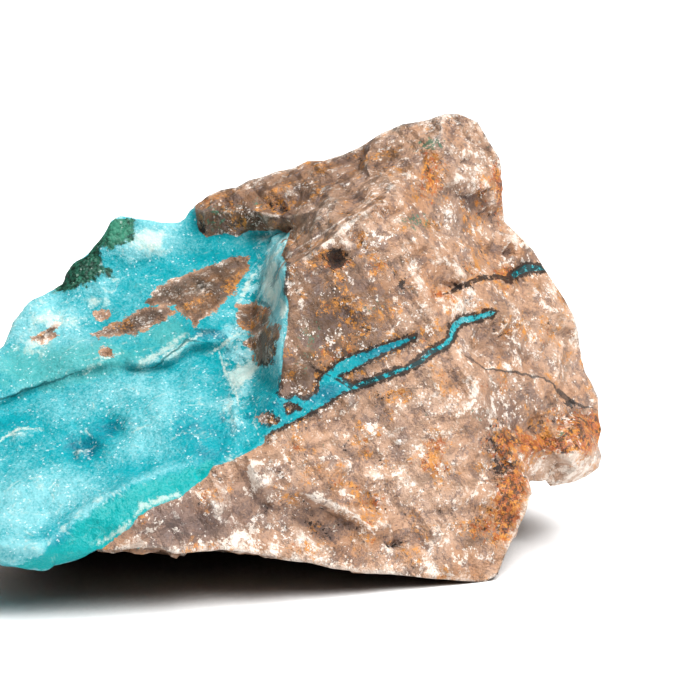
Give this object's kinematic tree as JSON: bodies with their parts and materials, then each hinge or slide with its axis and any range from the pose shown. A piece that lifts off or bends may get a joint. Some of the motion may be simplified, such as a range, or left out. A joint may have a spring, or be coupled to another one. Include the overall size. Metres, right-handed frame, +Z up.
{
  "type": "mineral specimen",
  "caption": "Broken hand-sized stone of pale quartz with a blue-green chrysocolla vein bared along one side and dark malachite crusts; it rests on a flat broken underside.",
  "frame": {"origin": "middle of the stone's box seen from above, on the level surface the stone rests on", "axes": "+X to the right along the longest side, +Y from the bared vein and the large quartz face towards the far side, +Z up"},
  "size_m": [0.0686, 0.0498, 0.0432],
  "materials": {
    "stone": "grey-brown broken quartz with an uneven, waxy blue-green vein and dull dark green crusts"
  },
  "bodies": {
    "root": {"chrysocolla_specimen": "stone"}
  },
  "joints": []
}
